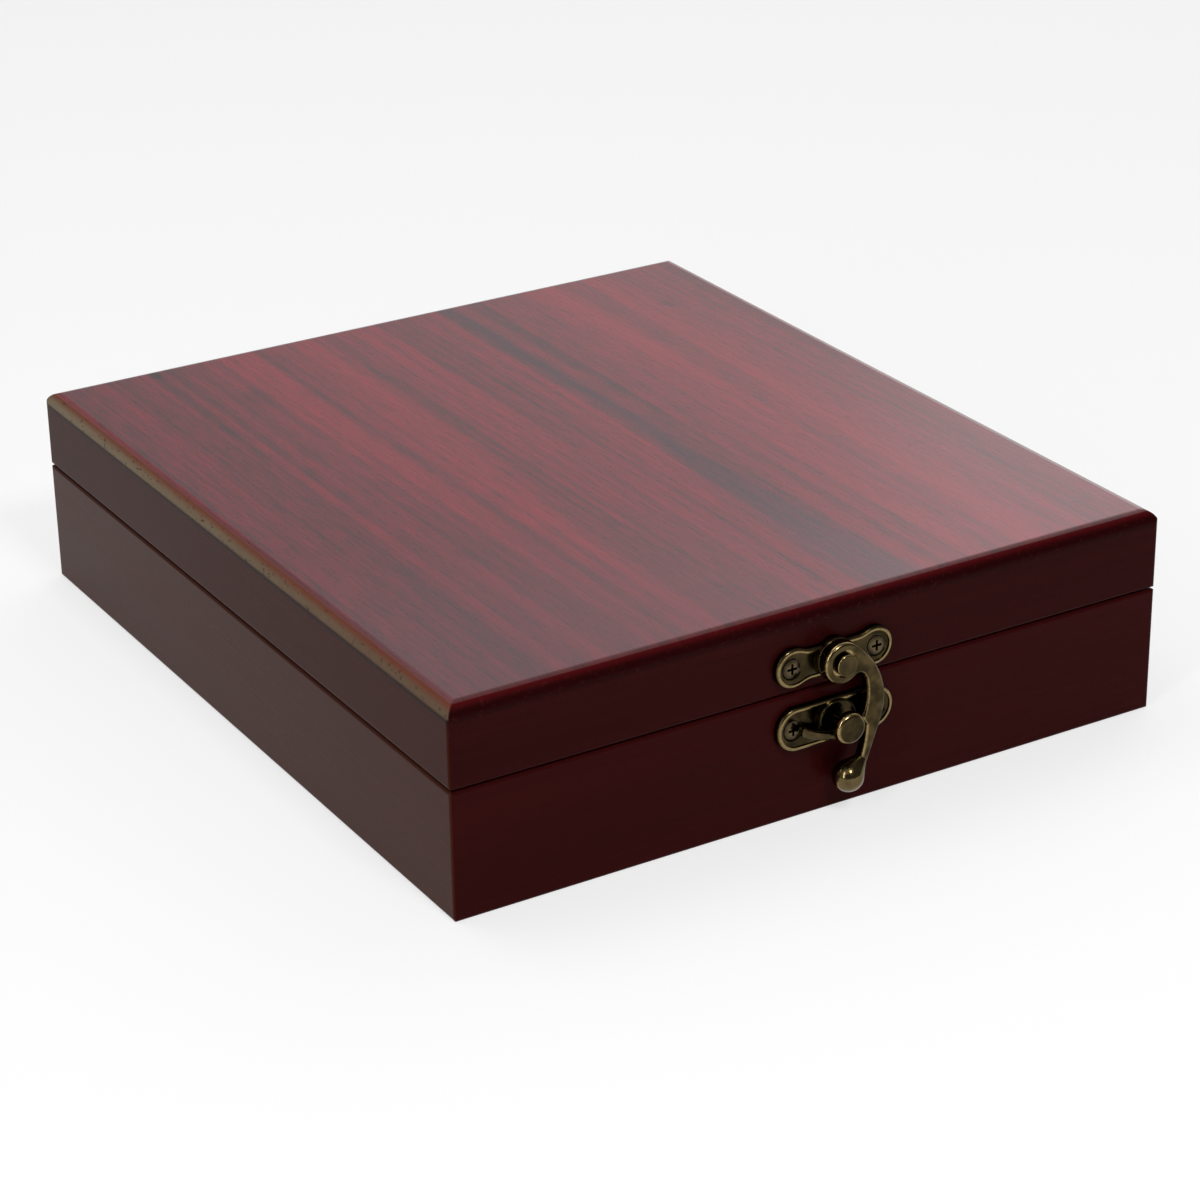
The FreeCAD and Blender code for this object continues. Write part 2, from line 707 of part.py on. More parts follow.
# Butt hinges on the back: leaf with rolled knuckles, pin through all three
def leaf(name, up, outer_knuckles, bore_gap, across):
    body = new_body(name)
    plate = sketch_on(body, "XY_Plane")
    end = "hinge_length / 2"
    tip = up + "leaf_height"
    inner = up + "(leaf_height - leaf_corner)"
    turn = "leaf_corner" if up == "" else "-leaf_corner"
    outline(plate, [
        ("-" + end, "0"),
        (end, "0"),
        (end, inner, turn),
        (end + " - leaf_corner", tip),
        ("-" + end + " + leaf_corner", tip, turn),
        ("-" + end, inner),
    ])
    pad(body, plate, "leaf_thick")
    roll = sketch_on(body, "YZ_Plane")
    circle(roll, "0", axis_out, "knuckle_radius")
    pad(body, roll, "hinge_length" if outer_knuckles else "2 * middle_half", both_ways=True)
    notch = sketch_on(body, "XY_Plane")
    reach = "(knuckle_radius + knuckle_gap)"
    if outer_knuckles:
        gap = "(middle_half + knuckle_end_gap)"
        outline(notch, [("-" + gap, "-" + reach), (gap, "-" + reach), (gap, reach), ("-" + gap, reach)])
    else:
        edge = "(hinge_length / 2 + 1)"
        for side in ("", "-"):
            outline(notch, [
                (side + "middle_half", "-" + reach),
                (side + edge, "-" + reach),
                (side + edge, reach),
                (side + "middle_half", reach),
            ])
    pocket(body, notch)
    hole = sketch_on(body, "YZ_Plane")
    circle(hole, "0", axis_out, "pin_radius + " + bore_gap)
    pocket(body, hole)
    drop = "-leaf_screw_drop" if up == "" else "leaf_screw_drop"
    seat_cut(body, ("leaf_screw_spread", "0", drop), "leaf_thick", "")
    place(body, across, rear, axis_height, out_back)
    nodes.append(body)
    return drop


for hand, across in (("left", "-" + hinge_across), ("right", hinge_across)):
    spot = (across, rear, axis_height)
    low = leaf(hand + "_hinge_base_leaf", "-", True, "press_gap", across)
    high = leaf(hand + "_hinge_lid_leaf", "", False, "run_gap", across)
    pin = doc.addObject("Part::Cylinder", hand + "_hinge_pin")
    pin.Label = hand + "_hinge_pin"
    bind(pin, "Radius", "pin_radius")
    bind(pin, "Height", "hinge_length")
    sideways = FreeCAD.Rotation(FreeCAD.Vector(0, 1, 0), 90)
    place(pin, across + " - hinge_length / 2", rear + " + " + axis_out, axis_height, sideways)
    nodes.append(pin)
    screw_pair(hand + "_hinge_base_screws", "leaf_screw_spread", low, "leaf_thick", out_back, spot)
    screw_pair(hand + "_hinge_lid_screws", "leaf_screw_spread", high, "leaf_thick", out_back, spot)

doc.recompute()
for thing in doc.Objects:
    if "Invalid" in thing.State or "Error" in thing.State:
        raise RuntimeError("not computed: " + thing.Name)
os.makedirs("parts", exist_ok=True)
for node in nodes:
    if node.Shape.isNull() or not node.Shape.isValid() or not node.Shape.Solids:
        raise RuntimeError("no sound solid: " + node.Label)
    node.Shape.exportStep("parts/" + node.Label + ".step")
    print(node.Label, len(node.Shape.Solids), round(node.Shape.Volume, 2))
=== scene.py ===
import bpy
import math
from mathutils import Matrix, Vector


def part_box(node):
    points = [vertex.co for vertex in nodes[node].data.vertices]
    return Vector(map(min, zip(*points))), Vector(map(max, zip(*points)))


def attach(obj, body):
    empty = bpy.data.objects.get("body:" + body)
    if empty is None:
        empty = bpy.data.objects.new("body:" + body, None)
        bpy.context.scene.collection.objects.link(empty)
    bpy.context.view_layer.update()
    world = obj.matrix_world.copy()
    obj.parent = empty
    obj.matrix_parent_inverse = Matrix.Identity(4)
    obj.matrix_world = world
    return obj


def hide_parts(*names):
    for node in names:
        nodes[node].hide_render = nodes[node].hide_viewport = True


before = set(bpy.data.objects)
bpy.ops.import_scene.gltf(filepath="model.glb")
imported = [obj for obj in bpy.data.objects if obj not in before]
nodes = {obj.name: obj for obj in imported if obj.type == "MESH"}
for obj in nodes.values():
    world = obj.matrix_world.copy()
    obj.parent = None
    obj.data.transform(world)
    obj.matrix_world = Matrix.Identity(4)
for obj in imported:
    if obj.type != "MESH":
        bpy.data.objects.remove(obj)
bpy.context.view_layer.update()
bpy.ops.object.select_all(action="DESELECT")
scene = bpy.context.scene
scene.view_settings.view_transform = "Standard"

# Camera: stands to the left of the latch and a little above, a long lens, as a catalogue view is taken.
# Its place and turn were solved from the visible corners of the box.
view_turn = math.radians(-30.776)
view_rise = math.radians(25.010)
view_roll = math.radians(-0.891)
away = Vector((
    math.sin(view_turn) * math.cos(view_rise),
    -math.cos(view_turn) * math.cos(view_rise),
    math.sin(view_rise),
))
level_right = Vector((math.cos(view_turn), math.sin(view_turn), 0.0))
level_up = away.cross(level_right)
right = level_right * math.cos(view_roll) + level_up * math.sin(view_roll)
up = level_up * math.cos(view_roll) - level_right * math.sin(view_roll)
camera_data = bpy.data.cameras.new("catalogue_camera")
camera_data.sensor_width = 36.0
camera_data.lens = 102.76
camera_place = Vector((-0.34132, -0.58212, 0.32385))
camera = bpy.data.objects.new("catalogue_camera", camera_data)
scene.collection.objects.link(camera)
stand = Matrix((right, up, away)).transposed().to_4x4()
stand.translation = camera_place
camera.matrix_world = stand
scene.camera = camera


# Base walls: four strips of solid wood, mitred and glued at the corners, stained dark cherry.
# A satin lacquer nearly hides the grain, which runs along each strip. The two side strips are glossier than
# the front and back strips, and their stain is browner and lighter, which is painted warm sheen and light.
def node(tree, kind, inputs=(), **settings):
    made = tree.nodes.new(kind)
    for name, value in settings.items():
        setattr(made, name, value)
    for name, value in dict(inputs).items():
        if isinstance(value, bpy.types.NodeSocket):
            tree.links.new(value, made.inputs[name])
        else:
            made.inputs[name].default_value = value
    return made


def maths(tree, operation, first, second=0.0, third=0.0):
    inputs = {0: first, 1: second, 2: third}
    return node(tree, "ShaderNodeMath", inputs, operation=operation).outputs[0]


def blended(tree, factor, first, second, blend="MIX"):
    inputs = {0: factor, 6: first, 7: second}
    return node(tree, "ShaderNodeMix", inputs, data_type="RGBA", blend_type=blend).outputs[2]


def stretched_noise(tree, vector, scale, detail, rough=0.55, warp=0.0):
    placed = node(tree, "ShaderNodeMapping", {"Vector": vector, "Scale": scale}).outputs[0]
    inputs = {"Vector": placed, "Scale": 1.0, "Detail": detail, "Roughness": rough, "Distortion": warp}
    return node(tree, "ShaderNodeTexNoise", inputs).outputs[0]


def spread(tree, value, low, high):
    inputs = {0: value, 1: low, 2: high, 3: 0.0, 4: 1.0}
    return node(tree, "ShaderNodeMapRange", inputs, interpolation_type="SMOOTHSTEP").outputs[0]


grain = bpy.data.node_groups.new("wood_grain", "ShaderNodeTree")
grain.interface.new_socket("Along Y", in_out="INPUT", socket_type="NodeSocketVector")
for name in ("Bands", "Streaks", "Fibre", "Pores"):
    grain.interface.new_socket(name, in_out="OUTPUT", socket_type="NodeSocketFloat")
grain_in = node(grain, "NodeGroupInput").outputs[0]
bands = stretched_noise(grain, grain_in, (38.0, 2.2, 38.0), 3.0, 0.5, 0.4)
streaks = stretched_noise(grain, grain_in, (260.0, 5.0, 260.0), 4.0, 0.6, 0.2)
fibre = stretched_noise(grain, grain_in, (1500.0, 26.0, 1500.0), 3.0, 0.65)
pores = stretched_noise(grain, grain_in, (2600.0, 130.0, 2600.0), 2.0, 0.5)
grain_out = {
    "Bands": spread(grain, bands, 0.3, 0.7),
    "Streaks": spread(grain, streaks, 0.28, 0.72),
    "Fibre": spread(grain, fibre, 0.3, 0.7),
    "Pores": spread(grain, pores, 0.62, 0.72),
}
node(grain, "NodeGroupOutput", grain_out)


def new_material(name):
    material = bpy.data.materials.new(name)
    material.use_nodes = True
    tree = material.node_tree
    tree.nodes.clear()
    shader = node(tree, "ShaderNodeBsdfPrincipled")
    node(tree, "ShaderNodeOutputMaterial", {"Surface": shader.outputs[0]})
    return material, tree, shader


def object_place(tree):
    return node(tree, "ShaderNodeTexCoord").outputs["Object"]


def along(tree, order):
    # Reorders X, Y, Z so that the grain runs along the second
    parts = node(tree, "ShaderNodeSeparateXYZ", {0: object_place(tree)}).outputs
    picked = {place: parts["XYZ".index(letter)] for place, letter in enumerate(order)}
    return node(tree, "ShaderNodeCombineXYZ", picked).outputs[0]


def lacquer(shader, gloss, tint):
    # Satin lacquer: a low, even gloss over the stain
    shader.inputs["IOR"].default_value = gloss
    shader.inputs["Specular Tint"].default_value = tint


amber = (1.0, 0.80, 0.62, 1.0)


def cherry(name, order, dark, light, gloss):
    material, tree, shader = new_material(name)
    figure = node(tree, "ShaderNodeGroup", {}, node_tree=grain)
    tree.links.new(along(tree, order), figure.inputs[0])
    tone = maths(tree, "MULTIPLY_ADD", figure.outputs["Streaks"], 0.4, 0.0)
    tone = maths(tree, "MULTIPLY_ADD", figure.outputs["Bands"], 0.6, tone)
    colour = blended(tree, tone, dark, light)
    fine = maths(tree, "MULTIPLY_ADD", figure.outputs["Fibre"], 0.08, 0.96)
    colour = blended(tree, 1.0, colour, fine, "MULTIPLY")
    dull = maths(tree, "MULTIPLY_ADD", figure.outputs["Bands"], 0.05, 0.25)
    height = maths(tree, "MULTIPLY_ADD", figure.outputs["Pores"], -0.6, figure.outputs["Fibre"])
    relief = node(tree, "ShaderNodeBump", {"Height": height, "Strength": 0.01, "Distance": 0.0002}).outputs[0]
    tree.links.new(colour, shader.inputs["Base Color"])
    tree.links.new(dull, shader.inputs["Roughness"])
    tree.links.new(relief, shader.inputs["Normal"])
    lacquer(shader, gloss, amber)
    return material


def paint(name, material):
    nodes[name].material_slots[0].material = material


stain_dark = (0.0265, 0.0024, 0.0028, 1.0)
stain_light = (0.0340, 0.0031, 0.0035, 1.0)
front_gloss = 1.112
wall_across = cherry("wall_grain_across", "ZXY", stain_dark, stain_light, front_gloss)
# The side strips' browner, lighter colours are painted warm sheen and light on the same cherry as the front
# strips.
side_wall_sheen_dark = (0.037, 0.0078, 0.0037, 1.0)
side_wall_sheen_light = (0.047, 0.0102, 0.0048, 1.0)
side_gloss = 1.142
wall_to_back = cherry("wall_grain_to_back", "ZYX", side_wall_sheen_dark, side_wall_sheen_light, side_gloss)
for place in ("front", "back"):
    paint("base_%s_wall" % place, wall_across)
for place in ("left", "right"):
    paint("base_%s_wall" % place, wall_to_back)

# Bottom panel: a thin board let into the rebate of the four walls and glued, flush with their lower edges.
# It is stained like the walls but not lacquered as often, so its grain shows more.
bottom_dark = (0.030, 0.005, 0.006, 1.0)
bottom_light = (0.072, 0.012, 0.011, 1.0)
bottom_gloss = 1.12
paint("base_bottom_panel", cherry("stained_bottom", "XYZ", bottom_dark, bottom_light, bottom_gloss))


# Floor felt: a sheet of wine-red pressed felt, cut to the floor of the base and glued to the bottom panel.
# Its cut edge is a little soft, and its upper side is uneven, as pressed felt is.
felt_dark = (0.030, 0.003, 0.006, 1.0)
felt_light = (0.125, 0.010, 0.020, 1.0)
felt_edge_round = 0.0005
felt_unevenness = 0.00035


def felt_material():
    material, tree, shader = new_material("wine_felt")
    place = object_place(tree)
    pile = stretched_noise(tree, place, (2200.0, 2200.0, 2200.0), 3.0, 0.7)
    tuft = stretched_noise(tree, place, (520.0, 520.0, 520.0), 3.0, 0.6, 0.6)
    cloud = stretched_noise(tree, place, (45.0, 45.0, 45.0), 3.0, 0.6)
    tone = maths(tree, "MULTIPLY_ADD", cloud, 0.22, maths(tree, "MULTIPLY", pile, 0.4))
    tone = maths(tree, "MULTIPLY_ADD", tuft, 0.45, tone)
    felt_shade = spread(tree, tone, 0.3, 0.8)
    colour = blended(tree, felt_shade, felt_dark, felt_light)
    height = maths(tree, "MULTIPLY_ADD", tuft, 0.5, pile)
    relief = node(tree, "ShaderNodeBump", {"Height": height, "Strength": 0.5, "Distance": 0.0004}).outputs[0]
    tree.links.new(colour, shader.inputs["Base Color"])
    tree.links.new(relief, shader.inputs["Normal"])
    shader.inputs["Roughness"].default_value = 0.95
    shader.inputs["Specular IOR Level"].default_value = 0.05
    shader.inputs["Sheen Weight"].default_value = 0.08
    shader.inputs["Sheen Roughness"].default_value = 0.6
    shader.inputs["Sheen Tint"].default_value = (0.75, 0.30, 0.34, 1.0)
    return material


wine_felt = felt_material()
pressing = bpy.data.textures.new("felt_pressing", "CLOUDS")
pressing.noise_scale = 0.011
pressing.noise_depth = 3


def felt_sheet(name, cad_node, body, pile_up):
    low, high = (Vector(corner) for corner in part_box(cad_node))
    size = high - low
    glued = low.z if pile_up else high.z
    middle = (low.x + high.x) / 2, (low.y + high.y) / 2, glued
    bpy.ops.object.select_all(action="DESELECT")
    bpy.ops.mesh.primitive_grid_add(x_subdivisions=74, y_subdivisions=84, size=1.0, location=middle)
    sheet = bpy.context.object
    sheet.name = name
    sheet.scale = size.x, size.y, 1.0
    bpy.ops.object.transform_apply(location=True, rotation=True, scale=True)
    thick = sheet.modifiers.new("felt_thickness", "SOLIDIFY")
    thick.thickness = size.z
    thick.offset = 1.0 if pile_up else -1.0
    bpy.ops.object.modifier_apply(modifier="felt_thickness")
    edge = sheet.modifiers.new("cut_edge", "BEVEL")
    edge.width = felt_edge_round
    edge.segments = 3
    edge.limit_method = "ANGLE"
    edge.angle_limit = math.radians(60)
    bpy.ops.object.modifier_apply(modifier="cut_edge")
    exposed = sheet.vertex_groups.new(name="pile_side")
    for corner in sheet.data.vertices:
        if abs(corner.co.z - glued) > size.z * 0.9:
            exposed.add([corner.index], 1.0, "REPLACE")
    uneven = sheet.modifiers.new("pressing", "DISPLACE")
    uneven.texture = pressing
    uneven.texture_coords = "LOCAL"
    uneven.direction = "Z"
    uneven.vertex_group = "pile_side"
    uneven.strength = felt_unevenness if pile_up else -felt_unevenness
    uneven.mid_level = 1.0
    bpy.ops.object.modifier_apply(modifier="pressing")
    bpy.ops.object.mode_set(mode="EDIT")
    bpy.ops.mesh.select_all(action="SELECT")
    bpy.ops.mesh.normals_make_consistent(inside=False)
    bpy.ops.object.mode_set(mode="OBJECT")
    bpy.ops.object.shade_smooth_by_angle(angle=math.radians(40))
    sheet.data.materials.append(wine_felt)
    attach(sheet, body)
    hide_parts(cad_node)


felt_sheet("floor_felt", "base_floor_lining", "base", True)

# Lid rails: four mitred strips above the seam that make the lid's sides, glued up under the lid board.
# They are the same wood as the base walls, with the grain along each strip, stained a little darker; at the
# two sides the colour is again browner and lighter, which is painted warm sheen and light.
rail_dark = (0.0215, 0.0021, 0.0023, 1.0)
rail_light = (0.0280, 0.0028, 0.0029, 1.0)
# The side rails' browner, lighter colours are painted warm sheen and light.
side_rail_sheen_dark = (0.031, 0.0052, 0.0025, 1.0)
side_rail_sheen_light = (0.039, 0.0066, 0.0032, 1.0)
lid_gloss = 1.115
rail_across = cherry("rail_grain_across", "ZXY", rail_dark, rail_light, lid_gloss)
rail_to_back = cherry("rail_grain_to_back", "ZYX", side_rail_sheen_dark, side_rail_sheen_light, lid_gloss)
for place in ("front", "back"):
    paint("lid_%s_rail" % place, rail_across)
for place in ("left", "right"):
    paint("lid_%s_rail" % place, rail_to_back)


# Lid board: a board that covers the rails, glued on, with its upper edge rounded over on all four sides.
# On the two sides the stain is rubbed thin on the round and the board shows khaki with dark specks;
# across the front and back the round is stained nearly black, with red left along its top.
def edge_masks(tree, half_width, half_depth):
    # How far in from the nearest side, from the nearest end, and which of the two is nearer
    parts = node(tree, "ShaderNodeSeparateXYZ", {0: object_place(tree)}).outputs
    from_side = maths(tree, "SUBTRACT", half_width, maths(tree, "ABSOLUTE", parts[0]))
    from_end = maths(tree, "SUBTRACT", half_depth, maths(tree, "ABSOLUTE", parts[1]))
    at_side = spread(tree, maths(tree, "SUBTRACT", from_end, from_side), -0.0003, 0.0003)
    return parts, from_side, from_end, at_side


half_width, half_depth, board_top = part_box("lid_top_panel")[1]
round_height = 0.0027
round_low = board_top - round_height
khaki_front = (0.112, 0.074, 0.047, 1.0)
khaki_back = (0.195, 0.157, 0.103, 1.0)
khaki_brown = (0.095, 0.052, 0.030, 1.0)
khaki_speck = (0.015, 0.009, 0.006, 1.0)
khaki_orange = (0.125, 0.028, 0.016, 1.0)
side_shadow = (0.017, 0.0055, 0.0045, 1.0)
end_black = (0.017, 0.0016, 0.002, 1.0)
end_red = (0.060, 0.003, 0.0045, 1.0)
end_speck = (0.090, 0.015, 0.012, 1.0)
board_stain, tree, shader = new_material("cherry_board")
figure = node(tree, "ShaderNodeGroup", {}, node_tree=grain)
tree.links.new(along(tree, "XYZ"), figure.inputs[0])
parts, _, _, at_side = edge_masks(tree, half_width, half_depth)
plain = blended(tree, figure.outputs["Bands"], rail_dark, rail_light)
# The board's side edges take the side rails' browner, lighter colours, which are painted warm sheen and
# light.
board_side_sheen = blended(tree, figure.outputs["Bands"], side_rail_sheen_dark, side_rail_sheen_light)
patch = stretched_noise(tree, object_place(tree), (180.0, 60.0, 180.0), 4.0, 0.6)
speck = spread(tree, stretched_noise(tree, object_place(tree), (1300.0, 800.0, 1300.0), 2.0, 0.6), 0.6, 0.68)
upper = spread(tree, parts[2], round_low + 0.0015, board_top + 0.0001)
rubbed = spread(tree, parts[2], round_low + 0.0001, round_low + 0.0009)
khaki = blended(tree, spread(tree, parts[1], -0.09, 0.09), khaki_front, khaki_back)
khaki = blended(tree, maths(tree, "MULTIPLY", patch, 0.6), khaki, khaki_brown)
khaki = blended(tree, maths(tree, "MULTIPLY", speck, 0.8), khaki, khaki_speck)
khaki = blended(tree, maths(tree, "MULTIPLY", upper, 0.85), khaki, khaki_orange)
shade = spread(tree, parts[2], round_low - 0.0009, round_low + 0.0001)
side_colour = blended(tree, shade, board_side_sheen, side_shadow)
side_colour = blended(tree, rubbed, side_colour, khaki)
dark_red = blended(tree, upper, end_black, end_red)
dark_red = blended(tree, maths(tree, "MULTIPLY", speck, 0.2), dark_red, end_speck)
end_colour = blended(tree, spread(tree, parts[2], round_low - 0.0008, round_low), plain, dark_red)
tree.links.new(blended(tree, at_side, end_colour, side_colour), shader.inputs["Base Color"])
tree.links.new(maths(tree, "MULTIPLY_ADD", patch, 0.12, 0.2), shader.inputs["Roughness"])
height = maths(tree, "MULTIPLY_ADD", speck, -0.8, figure.outputs["Fibre"])
relief = node(tree, "ShaderNodeBump", {"Height": height, "Strength": 0.08, "Distance": 0.0002}).outputs[0]
tree.links.new(relief, shader.inputs["Normal"])
lacquer(shader, lid_gloss, amber)
paint("lid_top_panel", board_stain)

# Lid veneer: a thin face sheet pressed on the board, mauve-brown with crimson streaks and one dark band.
# Its grain runs from the latch side to the back. Toward the front the dark band turns lighter and greyer,
# which is painted sheen, and at the front left the crimson fades to a greyer mauve, partly a real fade and
# partly painted sheen.
# The lacquer is thicker than on the walls. Its rounded edge is orange-red at the sides and deep red at the
# front and back.
mauve = (0.048, 0.0110, 0.0150, 1.0)
crimson_full = (0.235, 0.0115, 0.0235, 1.0)
band_at_back = (0.027, 0.016, 0.030, 1.0)
band_sheen_grey = (0.058, 0.036, 0.054, 1.0)
mauve_fade_and_sheen = (0.105, 0.043, 0.052, 1.0)
dash_dark = (0.022, 0.007, 0.010, 1.0)
mark_dark = (0.018, 0.006, 0.008, 1.0)
orange_dark = (0.085, 0.014, 0.009, 1.0)
orange_light = (0.150, 0.034, 0.018, 1.0)
red_edge_dark = (0.050, 0.0025, 0.0035, 1.0)
red_edge_light = (0.085, 0.0035, 0.005, 1.0)
veneer_gloss = 1.37
veneer_tint = (0.98, 0.96, 1.0, 1.0)
band_middle = 0.0185
veneer_stain, tree, shader = new_material("cherry_veneer")
parts, from_side, from_end, at_side = edge_masks(tree, half_width, half_depth)
place = object_place(tree)
wander = stretched_noise(tree, place, (14.0, 9.0, 0.0), 2.0, 0.5)
sideways = maths(tree, "MULTIPLY_ADD", maths(tree, "SUBTRACT", wander, 0.5), 0.008, parts[0])


def streak_along(tree, sideways, middle, half):
    # One along the middle of a streak that runs from front to back, nothing beside it
    off = maths(tree, "ABSOLUTE", maths(tree, "SUBTRACT", sideways, middle))
    return spread(tree, off, half * 1.7, half * 0.2)


broad = stretched_noise(tree, place, (130.0, 4.0, 0.0), 3.0, 0.5, 0.1)
thread = stretched_noise(tree, place, (400.0, 3.6, 0.0), 3.0, 0.6, 0.05)
thin_thread = stretched_noise(tree, place, (820.0, 5.0, 0.0), 2.0, 0.5, 0.05)
blotch = stretched_noise(tree, place, (430.0, 95.0, 0.0), 3.0, 0.6, 0.3)
fine = stretched_noise(tree, place, (1300.0, 130.0, 0.0), 3.0, 0.65)
# How crimson each point is: 0.41 on average, moved by broad figure, set streaks, threads, blotches and fibre
share = maths(tree, "MULTIPLY_ADD", maths(tree, "SUBTRACT", broad, 0.5), 0.42, 0.41)
for middle, half, crimson_gain in (
    (-0.070, 0.014, -0.10),
    (-0.036, 0.004, 0.24),
    (-0.024, 0.005, 0.28),
    (-0.004, 0.007, 0.16),
    (0.012, 0.004, 0.16),
    (0.044, 0.011, 0.32),
    (0.059, 0.005, 0.34),
    (0.071, 0.006, 0.14),
):
    share = maths(tree, "MULTIPLY_ADD", streak_along(tree, sideways, middle, half), crimson_gain, share)
lines = spread(tree, thread, 0.33, 0.67)
share = maths(tree, "MULTIPLY_ADD", maths(tree, "SUBTRACT", lines, 0.5), 0.30, share)
thin_lines = spread(tree, thin_thread, 0.33, 0.67)
share = maths(tree, "MULTIPLY_ADD", maths(tree, "SUBTRACT", thin_lines, 0.5), 0.32, share)
share = maths(tree, "MULTIPLY_ADD", maths(tree, "SUBTRACT", blotch, 0.5), 0.8, share)
share = maths(tree, "MULTIPLY_ADD", maths(tree, "SUBTRACT", fine, 0.5), 0.55, share)
band_half = maths(tree, "MULTIPLY_ADD", spread(tree, parts[1], 0.02, -0.09), 0.0046, 0.0012)
band_off = maths(tree, "ABSOLUTE", maths(tree, "SUBTRACT", sideways, band_middle))
band = spread(tree, maths(tree, "SUBTRACT", band_off, band_half), 0.0034, -0.0022)
# Toward the front the dark band is lightened and turned grey-mauve: painted sheen.
sheen_toward_front = spread(tree, parts[1], -0.02, -0.08)
band_dark = maths(tree, "MULTIPLY", band, maths(tree, "MULTIPLY_ADD", sheen_toward_front, -0.4, 1.0))
share = maths(tree, "MULTIPLY_ADD", band_dark, -0.20, share)
crimson = blended(tree, share, mauve, crimson_full)
band_and_sheen_colour = blended(tree, sheen_toward_front, band_at_back, band_sheen_grey)
crimson = blended(tree, maths(tree, "MULTIPLY", band, 0.38), crimson, band_and_sheen_colour)
# At the front left the crimson fades to a greyer, lighter mauve: partly a real fade, partly painted sheen.
fade_and_sheen_mask = maths(tree, "MULTIPLY", spread(tree, parts[1], -0.01, -0.08), spread(tree, parts[0], 0.035, -0.015))
crimson = blended(tree, maths(tree, "MULTIPLY", fade_and_sheen_mask, 0.42), crimson, mauve_fade_and_sheen)
dash = spread(tree, stretched_noise(tree, place, (1700.0, 150.0, 0.0), 2.0, 0.5), 0.6, 0.74)
crimson = blended(tree, maths(tree, "MULTIPLY", dash, 0.09), crimson, dash_dark)


def spot(tree, parts, middle, size):
    # One where a small long mark lies, falling to nothing outside it
    wide = maths(tree, "DIVIDE", maths(tree, "SUBTRACT", parts[0], middle[0]), size[0])
    long = maths(tree, "DIVIDE", maths(tree, "SUBTRACT", parts[1], middle[1]), size[1])
    square = maths(tree, "MULTIPLY_ADD", wide, wide, maths(tree, "MULTIPLY", long, long))
    return spread(tree, square, 1.0, 0.1)


for middle, size, depth in (
    ((-0.0575, 0.0885), (0.0016, 0.0032), 0.85),
    ((-0.0440, 0.0630), (0.0040, 0.0080), 0.35),
    ((0.0640, 0.0650), (0.0012, 0.0030), 0.5),
):
    mark = maths(tree, "MULTIPLY", spot(tree, parts, middle, size), depth)
    crimson = blended(tree, mark, crimson, mark_dark)
side_edge = spread(tree, from_side, 0.0024, 0.0016)
end_edge = spread(tree, from_end, 0.0030, 0.0026)
uneven_edge = spread(tree, thread, 0.35, 0.65)
orange = blended(tree, uneven_edge, orange_dark, orange_light)
colour = blended(tree, side_edge, crimson, orange)
red_edge = blended(tree, uneven_edge, red_edge_dark, red_edge_light)
at_end = maths(tree, "MULTIPLY", end_edge, maths(tree, "SUBTRACT", 1.0, at_side))
colour = blended(tree, at_end, colour, red_edge)
tree.links.new(colour, shader.inputs["Base Color"])
tree.links.new(maths(tree, "MULTIPLY_ADD", fine, 0.08, 0.24), shader.inputs["Roughness"])
height = maths(tree, "MULTIPLY_ADD", dash, -0.7, fine)
relief = node(tree, "ShaderNodeBump", {"Height": height, "Strength": 0.035, "Distance": 0.0002}).outputs[0]
tree.links.new(relief, shader.inputs["Normal"])
lacquer(shader, veneer_gloss, veneer_tint)
paint("lid_top_veneer", veneer_stain)

# Lid felt: the same wine-red felt as on the floor, cut to the inside of the lid rails.
# It is glued under the lid board, with its uneven side facing down into the box.
felt_sheet("lid_felt", "lid_lining", "lid", False)

# Hinges: two pressed brass butt hinges on the back, each of two leaves and a pin, screwed to base and lid.
# Their antique-bronze finish is a dark patina, bright where metal stands proud, as on the knuckles: partly
# rubbing wear and partly a painted highlight along the raised edges.
patina = bpy.data.node_groups.new("bronze_patina", "ShaderNodeTree")
patina.interface.new_socket("Place", in_out="INPUT", socket_type="NodeSocketVector")
for name in ("Rubbed From", "Rubbed To"):
    patina.interface.new_socket(name, in_out="INPUT", socket_type="NodeSocketFloat")
for name in ("Wear Highlight", "Cloud", "Speck"):
    patina.interface.new_socket(name, in_out="OUTPUT", socket_type="NodeSocketFloat")
patina_in = node(patina, "NodeGroupInput").outputs
face_half = 0.093
wear_highlight_blend = 0.00012
depth_way = node(patina, "ShaderNodeSeparateXYZ", {0: patina_in["Place"]}).outputs[1]
proud = maths(patina, "SUBTRACT", maths(patina, "ABSOLUTE", depth_way), face_half)
above = maths(patina, "DIVIDE", maths(patina, "SUBTRACT", proud, patina_in["Rubbed From"]), wear_highlight_blend)
below = maths(patina, "DIVIDE", maths(patina, "SUBTRACT", patina_in["Rubbed To"], proud), wear_highlight_blend)
# The bright band where metal stands proud is partly rubbing wear and partly a painted highlight along raised
# edges and rims.
wear_highlight_band = maths(patina, "MULTIPLY", spread(patina, above, -0.5, 1.5), spread(patina, below, -0.5, 1.5))
cloud = spread(patina, stretched_noise(patina, patina_in["Place"], (300.0, 300.0, 300.0), 3.0, 0.5), 0.3, 0.7)
dots = stretched_noise(patina, patina_in["Place"], (1900.0, 1900.0, 1900.0), 2.0, 0.6)
speck = spread(patina, dots, 0.45, 0.75)
kept = maths(patina, "MULTIPLY_ADD", speck, -0.45, 1.0)
patina_out = {"Wear Highlight": maths(patina, "MULTIPLY", wear_highlight_band, kept), "Cloud": cloud, "Speck": speck}
node(patina, "NodeGroupOutput", patina_out)


